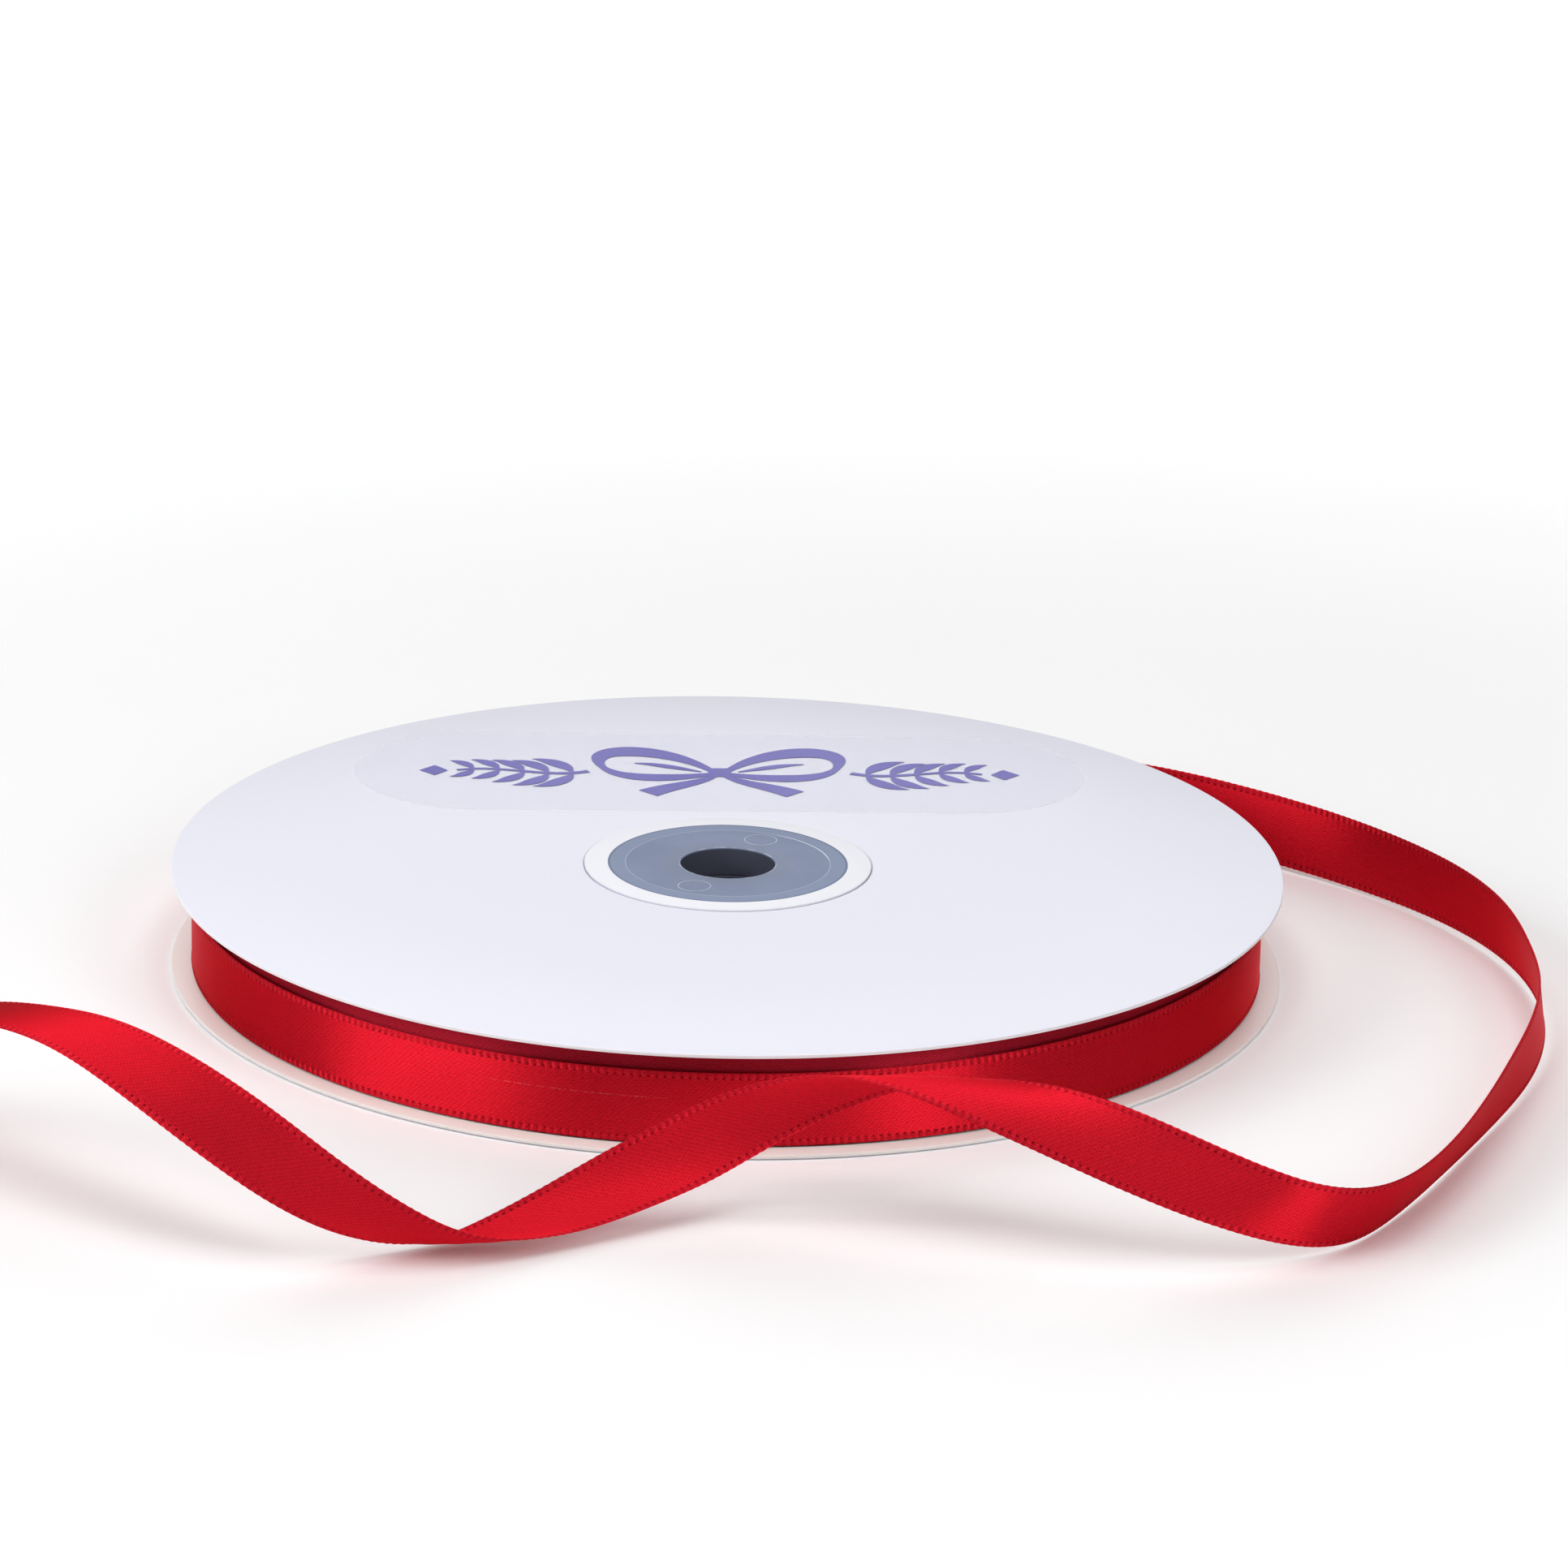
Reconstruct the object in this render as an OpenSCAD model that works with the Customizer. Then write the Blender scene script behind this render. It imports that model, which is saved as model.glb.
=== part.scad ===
// Flat spool of satin ribbon: two board flanges clamped on a cardboard core by a
// two-part plastic hub, a full winding, and a free end that curls over the table.
// Millimetres, +Z up along the hub's axis. The origin is where the axis meets the table.

/* [Ribbon] */
// Width of the ribbon
ribbon_w = 12; // [6:0.5:14]
// Thickness of the ribbon
ribbon_t = 0.25; // [0.15:0.05:0.4]
// Outer diameter of the full winding
wound_d = 176.2; // [120:0.1:178]
// Gap between the winding and the loose last turn
turn_gap = 0.3; // [0.1:0.05:0.5]
// Direction in which the ribbon leaves the winding, measured from +X
exit_angle = 71; // [60:1:80]

/* [Flanges] */
// Diameter of each flange
flange_d = 184; // [180:1:230]
// Thickness of the flange board
board_t = 0.6; // [0.6:0.1:2]
// Free height between the two flanges
flange_gap = 16; // [14.6:0.1:24]
// Hole in each flange
board_hole_d = 39.8; // [38:0.1:44]
// Radius worn on the rim of the board
rim_round = 0.2; // [0.05:0.05:0.25]

/* [Hub] */
// Diameter of the hub's collar
collar_d = 47.6; // [46:0.1:60]
// Thickness of the collar and the end plate
collar_t = 0.6; // [0.4:0.05:0.65]
// How far the collar stands out of the board
collar_proud = 0.2; // [0.1:0.05:0.3]
// Bore for a peg or rod
bore_d = 15.7; // [10:0.1:20]
// Wall around the bore
boss_wall = 1.7; // [1:0.1:3]
// Wall of each of the two telescoping barrels
barrel_wall = 1.2; // [0.8:0.1:2]
// Depth of the parting line inside the bore
parting_depth = 4.8; // [3:0.1:7]
// Overlap of the two barrels
barrel_overlap = 8; // [4:0.5:10]
// Height of the snap bead
bead_h = 0.3; // [0.1:0.05:0.4]
// Diameter of the round ejector marks
ejector_d = 5.5; // [3:0.1:7]
// Distance of the ejector marks from the axis
ejector_r = 13.3; // [12:0.1:14]

/* [Core] */
// Wall of the cardboard core tube
core_wall = 3.9; // [2:0.1:6]
// Length of the tape that holds the ribbon's first turn
tape_len = 24; // [12:1:40]
// Thickness of that tape
tape_t = 0.06; // [0.04:0.01:0.1]

/* [Label] */
// Length of the clear label
label_len = 125; // [80:1:130]
// Width of the clear label
label_w = 42; // [25:1:44]
// Thickness of the clear label
label_t = 0.1; // [0.05:0.01:0.15]
// Distance of the label's middle from the axis
label_off = 48.4; // [46:0.1:52]
// Angle of the label, as it was laid on
label_turn = 2; // [-4:0.5:4]

/* [Hidden] */
$fn = 180;
eps = 0.01;

barrel_fit = 0.3;      // board hole to upper barrel, radial
core_fit = 0.2;        // board hole to the inside of the core, radial
barrel_slide = 0.2;    // upper barrel to lower barrel, radial
collar_fit = 0.1;      // pressed seat in the board to the collar, radial
parting_gap = 0.1;     // between the two halves inside the bore
wound_play = 0.1;      // core to the first turn, radial
side_play = 0.3;       // winding to each flange

// levels, from the table up
low_board_z = collar_proud;
gap_z = low_board_z + board_t;
high_board_z = gap_z + flange_gap;
high_face_z = high_board_z + board_t;
total_h = high_face_z + collar_proud;
mid_z = total_h / 2;

// radii
flange_r = flange_d / 2;
hole_r = board_hole_d / 2;
collar_r = collar_d / 2;
bore_r = bore_d / 2;
boss_r = bore_r + boss_wall;
high_barrel_r = hole_r - barrel_fit;
low_barrel_r = high_barrel_r - barrel_wall - barrel_slide;
core_in_r = hole_r + core_fit;
core_out_r = core_in_r + core_wall;
wound_r = wound_d / 2;
turn_in_r = wound_r + turn_gap;
turn_out_r = turn_in_r + ribbon_t;

seat_depth = collar_t - collar_proud;
mark_depth = 0.12;
bead_len = 1.2;
barrel_end_play = 0.5;
turn_low_z = gap_z + side_play;
turn_mid_z = turn_low_z + ribbon_w / 2;
turn_mid_r = (turn_in_r + turn_out_r) / 2;
tuck_angle = 6;        // the loose turn starts this far past the exit

// ---- the free end: a ribbon on edge, then one helical curl in front of the spool ----
// Each point is [x, y, z, lean]: the middle of the ribbon, and how far its width leans
// from upright, in degrees, turning about the way it runs.
exit_run = 12;
exit_point = [turn_mid_r * cos(exit_angle), turn_mid_r * sin(exit_angle), turn_mid_z, 0];
exit_way = [sin(exit_angle), -cos(exit_angle), 0, 0];
tail_route = concat(
    [exit_point, exit_point + exit_run * exit_way],
    [[56, 76, 7.5, -2], [73, 70, 7.5, -4], [89, 60, 7, -6], [104, 48, 6.5, -4],
     [116, 34, 6.5, 2], [125, 18, 7, 6], [131, 1, 7, 10], [133, -17, 7, 14], [133, -34, 7, 6],
     [130, -50, 6.5, 0], [125, -66, 6.5, -8], [119, -82, 6, -18], [113, -98, 6, -26],
     [106, -113, 5.5, -30], [98, -126, 5.5, -28], [87, -133, 8, -20], [70, -134, 14.5, 6],
     [50, -129, 22.5, 44], [32, -120, 26, 94], [16, -114, 22, 138], [0, -113, 13.5, 180],
     [-14, -119, 6, 232], [-29, -128, 1.5, 264], [-42, -137, 1.5, 296], [-56, -142, 9.5, 338],
     [-69, -140, 18.5, 386], [-83, -130, 25.5, 420], [-96, -117, 28.5, 440],
     [-107, -106, 27, 450], [-119, -95, 24, 452], [-130, -86, 17.5, 452], [-140, -79, 10, 450],
     [-150, -73, 3.5, 450], [-161, -67, 0.5, 450], [-173, -62, 0.5, 450]]);
tail_steps = 2;

function spline_basis(t) = [pow(1 - t, 3), 3 * pow(t, 3) - 6 * t * t + 4,
                          -3 * pow(t, 3) + 3 * t * t + 3 * t + 1, pow(t, 3)] / 6;
function slope_basis(t) = [-3 * pow(1 - t, 2), 9 * t * t - 12 * t,
                           -9 * t * t + 6 * t + 3, 3 * t * t] / 6;
// the route with one mirrored point beyond each end, so that the curve starts and ends on it
function held(route) = let (n = len(route) - 1)
    concat([2 * route[0] - route[1]], route, [2 * route[n] - route[n - 1]]);
function blend4(points, i, weights) =
    weights[0] * points[i] + weights[1] * points[i + 1] + weights[2] * points[i + 2]
    + weights[3] * points[i + 3];
function along(route, steps) = let (p = held(route), last = len(route) - 2)
    [for (i = [0 : last], k = [0 : (i == last ? steps : steps - 1)])
        [blend4(p, i, spline_basis(k / steps)), blend4(p, i, slope_basis(k / steps))]];
function unit(v) = v / norm(v);
function xyz(p) = [p[0], p[1], p[2]];
// one ring of the ribbon's section, round the point of the route
function ring(at, w, t) = let (
        run = unit(xyz(at[1])), lean = at[0][3],
        up = unit([0, 0, 1] - run[2] * run), side = cross(run, up),
        across = cos(lean) * up + sin(lean) * side, out = cross(run, across))
    concat([for (k = [-3 : 2 : 3]) xyz(at[0]) + across * w * k / 6 + out * t / 2],
           [for (k = [3 : -2 : -3]) xyz(at[0]) + across * w * k / 6 - out * t / 2]);

module strip(route, steps, w, t) {
    rings = [for (at = along(route, steps)) ring(at, w, t)];
    n = len(rings);
    sides = len(rings[0]);
    // the two faces of a twisted strip are cut along the same diagonals, so they never cross
    walls = [for (i = [0 : n - 2], j = [0 : sides - 1])
        let (a = i * sides + j, b = i * sides + (j + 1) % sides, c = a + sides, d = b + sides)
        each (j < sides / 2 ? [[a, b, c], [b, d, c]] : [[a, b, d], [a, d, c]])];
    // both ends are closed by pairs of triangles across the thickness
    start_cap = [for (j = [0 : sides / 2 - 2]) let (k = sides - 1 - j)
        each [[j, k - 1, j + 1], [j, k, k - 1]]];
    end_cap = [for (f = start_cap) [for (j = [2 : -1 : 0]) f[j] + (n - 1) * sides]];
    polyhedron(points = [for (r = rings) each r], faces = concat(walls, start_cap, end_cap),
               convexity = 6);
}

module tube(r_out, r_in, z0, z1) {
    translate([0, 0, z0]) difference() {
        cylinder(r = r_out, h = z1 - z0);
        translate([0, 0, -1]) cylinder(r = r_in, h = z1 - z0 + 2);
    }
}

// a flange with its collar seat pressed into the face that is up
module flange() {
    rotate_extrude() polygon([
        [hole_r, 0], [flange_r - rim_round, 0], [flange_r, rim_round],
        [flange_r, board_t - rim_round], [flange_r - rim_round, board_t],
        [collar_r + collar_fit, board_t], [collar_r + collar_fit, board_t - seat_depth],
        [hole_r, board_t - seat_depth]]);
}

module top_flange() {
    color("ghostwhite") translate([0, 0, high_board_z]) flange();
}

module bottom_flange() {
    color("lavenderblush") translate([0, 0, gap_z]) mirror([0, 0, 1]) flange();
}

// the two shallow round marks that the mould leaves on an end plate
module ejector_marks() {
    for (a = [66, 246]) rotate(a) translate([ejector_r, 0, 0])
        difference() {
            cylinder(d = ejector_d, h = 2 * mark_depth, center = true);
            cylinder(d = ejector_d - 0.7, h = 4 * mark_depth, center = true);
        }
}

// the end plate with its collar, its outer face at z = 0 and the rest below
module end_plate() {
    difference() {
        translate([0, 0, -collar_t]) cylinder(r = collar_r, h = collar_t);
        translate([0, 0, -collar_t - 1]) cylinder(r = bore_r, h = collar_t + 2);
        ejector_marks();
    }
}

module hub_upper() {
    barrel_end = mid_z - barrel_overlap / 2;
    groove_r = high_barrel_r - barrel_wall + bead_h;
    color([0.58, 0.64, 0.72, 0.8]) {
        difference() {
            union() {
                translate([0, 0, total_h]) end_plate();
                tube(high_barrel_r, high_barrel_r - barrel_wall, barrel_end,
                     total_h - collar_t + eps);
                tube(boss_r, bore_r, total_h - parting_depth, total_h - collar_t + eps);
            }
            tube(groove_r, high_barrel_r - barrel_wall - 1,
                 mid_z + barrel_overlap / 2 - 2 * bead_len - barrel_end_play,
                 mid_z + barrel_overlap / 2 - barrel_end_play);
        }
    }
}

module hub_lower() {
    barrel_top = mid_z + barrel_overlap / 2 - barrel_end_play;
    color([0.58, 0.64, 0.72, 0.8]) {
        mirror([0, 0, 1]) end_plate();
        tube(low_barrel_r, low_barrel_r - barrel_wall, collar_t - eps, barrel_top);
        tube(low_barrel_r + bead_h, low_barrel_r - barrel_wall / 2,
             barrel_top - 1.5 * bead_len, barrel_top - bead_len / 2);
        tube(boss_r, bore_r, collar_t - eps, total_h - parting_depth - parting_gap);
    }
}

module core_tube() {
    color("tan") tube(core_out_r, core_in_r, gap_z, high_board_z);
}

module core_tape() {
    color("palegoldenrod") translate([0, 0, turn_low_z + 1])
        rotate_extrude(angle = tape_len / core_out_r * 180 / PI)
            translate([core_out_r, 0]) square([tape_t, ribbon_w - 2]);
}

// all turns but the last, in the room that they take up between the flanges
module ribbon_pack() {
    color("crimson") tube(wound_r, core_out_r + wound_play, gap_z + side_play,
                          high_board_z - side_play);
}

// the last turn, lying low, open just past the place where the ribbon leaves
module ribbon_outer_turn() {
    color("firebrick") translate([0, 0, turn_low_z]) rotate(exit_angle)
        rotate_extrude(angle = 360 - tuck_angle)
            translate([turn_in_r, 0]) square([ribbon_t, ribbon_w]);
}

module ribbon_tail() {
    color("red") strip(tail_route, tail_steps, ribbon_w, ribbon_t);
}

module label_sticker() {
    end_r = label_w / 2;
    color([0.55, 0.53, 0.8, 0.5]) translate([0, 0, high_face_z])
        rotate(label_turn) translate([0, label_off, 0]) union() {
            translate([-label_len / 2 + end_r, -end_r, 0])
                cube([label_len - label_w, label_w, label_t]);
            for (s = [-1, 1]) translate([s * (label_len / 2 - end_r), 0, 0])
                cylinder(r = end_r, h = label_t);
        }
}

top_flange();
bottom_flange();
hub_upper();
hub_lower();
core_tube();
core_tape();
ribbon_pack();
ribbon_outer_turn();
ribbon_tail();
label_sticker();
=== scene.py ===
"""Ribbon spool: its looks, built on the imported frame. Metres, +Z up along the hub's axis."""
import math

import bmesh
import bpy
from mathutils import Matrix, Vector


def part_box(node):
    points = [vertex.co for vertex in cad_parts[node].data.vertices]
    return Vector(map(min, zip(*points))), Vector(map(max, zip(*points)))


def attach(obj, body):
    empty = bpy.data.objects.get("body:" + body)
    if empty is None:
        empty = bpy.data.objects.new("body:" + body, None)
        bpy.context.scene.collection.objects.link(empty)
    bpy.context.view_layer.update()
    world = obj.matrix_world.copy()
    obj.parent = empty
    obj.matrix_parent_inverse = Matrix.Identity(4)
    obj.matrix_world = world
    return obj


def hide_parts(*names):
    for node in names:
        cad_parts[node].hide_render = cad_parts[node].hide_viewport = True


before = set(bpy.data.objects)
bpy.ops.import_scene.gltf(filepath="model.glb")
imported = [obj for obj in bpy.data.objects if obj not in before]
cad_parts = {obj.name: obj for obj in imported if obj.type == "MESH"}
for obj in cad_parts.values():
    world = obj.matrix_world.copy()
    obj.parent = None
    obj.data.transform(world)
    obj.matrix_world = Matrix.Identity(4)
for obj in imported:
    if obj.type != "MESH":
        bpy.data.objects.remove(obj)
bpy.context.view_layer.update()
MM = 0.001

# ---------------------------------------------------------------- sizes, from the frame

flange_low, flange_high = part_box("top_flange")
base_low, base_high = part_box("bottom_flange")
collar_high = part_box("hub_upper")[1]
pack_low, pack_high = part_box("ribbon_pack")
turn_low, turn_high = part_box("ribbon_outer_turn")
label_low, label_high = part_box("label_sticker")

FLANGE_R = flange_high.x
COLLAR_R = collar_high.x
HOLE_R = 19.9 * MM          # the hole in each flange
TOP = collar_high.z
RIBBON_W = turn_high.z - turn_low.z
RIBBON_T = 0.25 * MM
TURN_R = turn_high.x - RIBBON_T / 2
TURN_MID = (turn_low.z + turn_high.z) / 2
EXIT_ANGLE = math.radians(71)

# the hub's radii and heights, in mm
BORE, BOSS = 7.85, 9.55
COLLAR, COLLAR_T = 23.8, 0.6
UPPER_BARREL = (18.4, 19.6)
LOWER_BARREL = (17.0, 18.2)
GROOVE, BEAD_OUT = 18.7, 18.5
PARTING = TOP / MM - 4.8
EJECTOR_OUT, EJECTOR_R = 13.3, 2.68
EJECTOR_ANGLES = [math.radians(66), math.radians(246)]

# the weave, in mm
SELVAGE_PITCH = 1.3
FLOAT_ROW, FLOAT_LEN = 0.335, 0.90
WEAVE_SPAN = 12.0           # mm of ribbon to one unit of its UV map

# The free end: [x, y, z, lean] in mm and degrees, the middle of the ribbon and how far
# its width leans from upright. Two points on the way out of the winding come before these.
EXIT_RUN = 12
TAIL_ROUTE = [
    [56, 76, 7.5, -2], [73, 70, 7.5, -4], [89, 60, 7, -6], [104, 48, 6.5, -4],
    [116, 34, 6.5, 2], [125, 18, 7, 6], [131, 1, 7, 10], [133, -17, 7, 14], [133, -34, 7, 6],
    [130, -50, 6.5, 0], [125, -66, 6.5, -8], [119, -82, 6, -18], [113, -98, 6, -26],
    [106, -113, 5.5, -30], [98, -126, 5.5, -28], [87, -133, 8, -20], [70, -134, 14.5, 6],
    [50, -129, 22.5, 44], [32, -120, 26, 94], [16, -114, 22, 138], [0, -113, 13.5, 180],
    [-14, -119, 6, 232], [-29, -128, 1.5, 264], [-42, -137, 1.5, 296], [-56, -142, 9.5, 338],
    [-69, -140, 18.5, 386], [-83, -130, 25.5, 420], [-96, -117, 28.5, 440],
    [-107, -106, 27, 450], [-119, -95, 24, 452], [-130, -86, 17.5, 452], [-140, -79, 10, 450],
    [-150, -73, 3.5, 450], [-161, -67, 0.5, 450], [-173, -62, 0.5, 450],
]

# ---------------------------------------------------------------- shader helpers


class Wire:
    """One output socket. Sums on it add Math nodes to its finish."""

    def __init__(self, finish, socket):
        self.finish, self.socket = finish, socket

    def _sum(self, operation, a, b):
        return self.finish.node("ShaderNodeMath", {"operation": operation}, {0: a, 1: b})

    def __add__(self, other):
        return self._sum("ADD", self, other)

    def __radd__(self, other):
        return self._sum("ADD", other, self)

    def __sub__(self, other):
        return self._sum("SUBTRACT", self, other)

    def __rsub__(self, other):
        return self._sum("SUBTRACT", other, self)

    def __mul__(self, other):
        return self._sum("MULTIPLY", self, other)

    def __rmul__(self, other):
        return self._sum("MULTIPLY", other, self)

    def __truediv__(self, other):
        return self._sum("DIVIDE", self, other)

    def __rtruediv__(self, other):
        return self._sum("DIVIDE", other, self)


class Finish:
    """A material with a Principled shader, and the one method that adds a node to it."""

    def __init__(self, name, **fixed):
        self.material = bpy.data.materials.new(name)
        self.material.use_nodes = True
        self.tree = self.material.node_tree
        self.tree.nodes.clear()
        self.shader = self.tree.nodes.new("ShaderNodeBsdfPrincipled")
        end = self.tree.nodes.new("ShaderNodeOutputMaterial")
        self.tree.links.new(self.shader.outputs[0], end.inputs[0])
        for key, value in fixed.items():
            self.shader.inputs[key.replace("_", " ")].default_value = value

    def feed(self, socket, value):
        if isinstance(value, Wire):
            self.tree.links.new(value.socket, socket)
        else:
            socket.default_value = value

    def node(self, kind, settings=None, sockets=None, out=0):
        made = self.tree.nodes.new(kind)
        for key, value in (settings or {}).items():
            setattr(made, key, value)
        for key, value in (sockets or {}).items():
            self.feed(made.inputs[key], value)
        return Wire(self, made.outputs[out])

    def surface(self, **fed):
        for key, value in fed.items():
            self.feed(self.shader.inputs[key.replace("_", " ")], value)
        return self.material

    # the patterns that the finishes share

    def parts(self, vector):
        """A vector's x, y and z."""
        split = self.node("ShaderNodeSeparateXYZ", None, {0: vector}).socket.node
        return [Wire(self, part) for part in split.outputs]

    def place(self):
        """The point on the object, in millimetres, as x, y and z."""
        point = self.node("ShaderNodeTexCoord", out="Object")
        return self.parts(self.node(
            "ShaderNodeVectorMath", {"operation": "SCALE"}, {0: point, "Scale": 1000.0}))

    def one(self, operation, *values):
        """One Math node."""
        return self.node("ShaderNodeMath", {"operation": operation}, dict(enumerate(values)))

    def noise(self, x, y, z, detail=2.0, rough=0.5):
        """Soft noise between 0 and 1, one swell to each unit of x, y and z."""
        at = self.node("ShaderNodeCombineXYZ", None, {0: x, 1: y, 2: z})
        return self.node("ShaderNodeTexNoise", None,
                         {"Vector": at, "Scale": 1.0, "Detail": detail, "Roughness": rough})

    def step(self, value, low, high):
        """0 below low and 1 above high, smooth between; turned round if low is the larger."""
        return self.node("ShaderNodeMapRange", {"interpolation_type": "SMOOTHSTEP"},
                         {"Value": value, "From Min": low, "From Max": high})

    def band(self, value, middle, half, soft):
        """1 within half of the middle value, and 0 further off than half + soft."""
        return self.step(self.one("ABSOLUTE", value - middle), half + soft, half)

    def blend(self, share, a, b):
        """Colour a where share is 0 and colour b where it is 1."""
        a, b = [c if isinstance(c, Wire) else (*c, 1) for c in (a, b)]
        return self.node("ShaderNodeMix", {"data_type": "RGBA"}, {0: share, 6: a, 7: b}, out=2)

    def bump(self, height, distance, strength):
        """A normal for a height of 0 to 1 that stands for this many millimetres."""
        return self.node("ShaderNodeBump", None, {
            "Height": height, "Distance": distance * MM, "Strength": strength})

    def radius(self, x, y):
        return self.one("SQRT", x * x + y * y)


# ---------------------------------------------------------------- finishes

# In mm from the spool's middle: where the floor starts to glow, and where it is at its brightest.
GLOW_NEAR, GLOW_FAR = 150, 900


def satin(name, shade=1.0):
    """Double-face satin: long floats in a staggered order, beaded selvages, a pulled thread."""
    f = Finish(name, Anisotropic=1.0, Anisotropic_Rotation=0.25, Sheen_Weight=0.07,
               Sheen_Roughness=0.22, Sheen_Tint=(1.0, 0.30, 0.32, 1), Specular_IOR_Level=0.25,
               Specular_Tint=(1.0, 0.35, 0.38, 1))
    along, across, _ = f.parts(f.node("ShaderNodeUVMap", {"uv_map": "Weave"}))
    run = along * WEAVE_SPAN
    wide = (across - 0.5) * WEAVE_SPAN
    # floats: rows along the run, each shifted by two fifths of a float from its neighbour
    sway = f.noise(run * 0.25, wide * 0.5, 13.0, 2.0)
    rows = (wide + sway * 0.25) / FLOAT_ROW
    row = f.one("FLOOR", rows)
    crown = f.one("ABSOLUTE", f.one("FRACT", rows) - 0.5) * 2.0
    beat = f.one("FRACT", run / FLOAT_LEN + row * 0.4 + sway * 0.8)
    dip = f.step(f.one("ABSOLUTE", beat - 0.5), 0.28, 0.5)
    weave = (1 - crown * crown) * (1 - dip * 0.8)
    # selvages: beads and small holes in step, a little different on either side. The holes are
    # painted dark with the shade seen through them; the beads get a painted highlight and the
    # dips between them painted shade
    rim = f.one("ABSOLUTE", wide)
    far_side = f.one("LESS_THAN", wide, 0.0)
    drift = f.noise(run * 0.4, far_side * 9.0, 5.0, 2.0) - 0.5
    beads = f.one("SINE", run * (2 * math.pi / SELVAGE_PITCH) + far_side * 2.0
                  + drift * 1.6 + math.pi / 2) * 0.5 + 0.5
    edge = f.step(rim, 4.85, 5.1)
    worn = f.step(f.noise(run * 0.045, far_side * 7.0, 21.0, 1.0), 0.38, 0.62)
    hole = (f.band(rim, 5.08 + drift * 0.4, 0.07, 0.15) * f.step(beads, 0.42, 0.08)
            + f.band(rim, 5.58 - drift * 0.3, 0.04, 0.12) * f.step(beads, 0.70, 0.95) * 0.7
            ) * (worn * 0.7 + 0.3)
    # slow changes along and across the ribbon
    cloud = f.noise(run * 0.03, wide * 0.06, 0.0, 2.0)
    streak = f.noise(run * 0.06, wide * 3.2, 3.0, 3.0, 0.6)
    grain = f.noise(run * 1.4, wide * 4.0, 7.0, 2.0)
    tone = 0.44 + cloud * 0.14 + streak * 0.12 + (weave - 0.52) * 0.42 + (grain - 0.5) * 0.60
    # the one pulled thread, on the front of the last turn
    thread = (f.band(wide, 1.6, 0.03, 0.05) * f.band(run, -284.0, 11.0, 5.0)
              * f.step(f.noise(run * 0.9, 0.0, 11.0, 3.0, 0.7), 0.46, 0.54))
    # shade below 1 darkens every colour of the satin: painted shade
    colour = f.blend(tone, (0.39 * shade, 0.0005, 0.010), (0.96 * shade, 0.021, 0.040))
    # painted shade: the selvage holes, dark with the shade seen through them
    colour = f.blend(hole * 0.68, colour, (0.10, 0.0006, 0.006))
    # painted shade in the dips between the beads
    colour = f.blend(edge * (1 - beads) * 0.20, colour, (0.26 * shade, 0.001, 0.010))
    # painted highlight on the beads
    colour = f.blend(edge * beads * 0.30, colour, (1.0 * shade, 0.03, 0.06))
    colour = f.blend(thread * 0.42, colour, (0.85, 0.24, 0.27))
    rough = 0.45 + edge * 0.10 + (streak - 0.5) * 0.10 + hole * 0.2
    height = ((1 - crown * crown) * 0.6 - dip * 0.12 + edge * beads * 0.8 - hole * 1.2
              + streak * 0.35)
    return f.surface(Base_Color=colour, Metallic=0.86 - edge * 0.15, Roughness=rough,
                     Normal=f.bump(height, 0.04, 0.55))


def coated_board(name, low, high, light, ivory):
    """White coated board, a shade of lavender, with its layers showing on the cut rim. Its
    upper side may get painted light, a lighter and warmer colour, and its rim more ivory."""
    f = Finish(name, Specular_IOR_Level=0.45, Coat_Roughness=0.28)
    x, y, z = f.place()
    far = f.radius(x, y)
    fibre = f.noise(x * 0.9, y * 0.9, z, 4.0, 0.6)
    cloud = f.noise(x * 0.02, y * 0.02, 0.0, 2.0)
    cut = f.step(far, FLANGE_R / MM - 0.16, FLANGE_R / MM - 0.05)
    layer = f.one("FRACT", (z - low / MM) / ((high - low) / MM) * 3.0)
    seam = f.band(layer, 0.0, 0.05, 0.10)
    # painted light: with light above 1, the upper face is painted lighter and warmer than the
    # under face
    upper = f.blend(cloud, (0.775 * light, 0.780 * light, 0.885),
                    (0.800 * light, 0.803 * light, 0.905))
    under = f.blend(cloud, (0.775, 0.780, 0.885), (0.800, 0.803, 0.905))
    paper = f.blend(f.step(z, (low + high) / 2 / MM, high / MM), under, upper)
    paper = f.blend((fibre - 0.5) * 0.10 + 0.05, paper, (0.72, 0.72, 0.81))
    board = f.blend(fibre, (0.88, 0.87, 0.90 - ivory), (0.84, 0.83, 0.87 - ivory))
    board = f.blend(seam * 0.25, board, (0.56, 0.52, 0.50))
    # painted shadow: a darker ring on the board just outside the hub's collar
    collar_shadow = f.band(far, COLLAR_R / MM + 0.25, 0.05, 0.25)
    colour = f.blend(cut, paper, board)
    colour = f.blend(collar_shadow * 0.10, colour, (0.5, 0.5, 0.62))
    speck = f.step(f.noise(x * 0.35, y * 0.35, 5.0, 1.0), 0.80, 0.84)
    colour = f.blend(speck * 0.3, colour, (0.5, 0.47, 0.5))
    return f.surface(Base_Color=colour, Roughness=0.42 + cut * 0.35 + (fibre - 0.5) * 0.12,
                     Coat_Weight=0.22 - cut * 0.2,
                     Normal=f.bump(fibre * 0.5 + cloud * 3.0 + cut * seam * -2.0, 0.02, 0.5))


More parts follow.
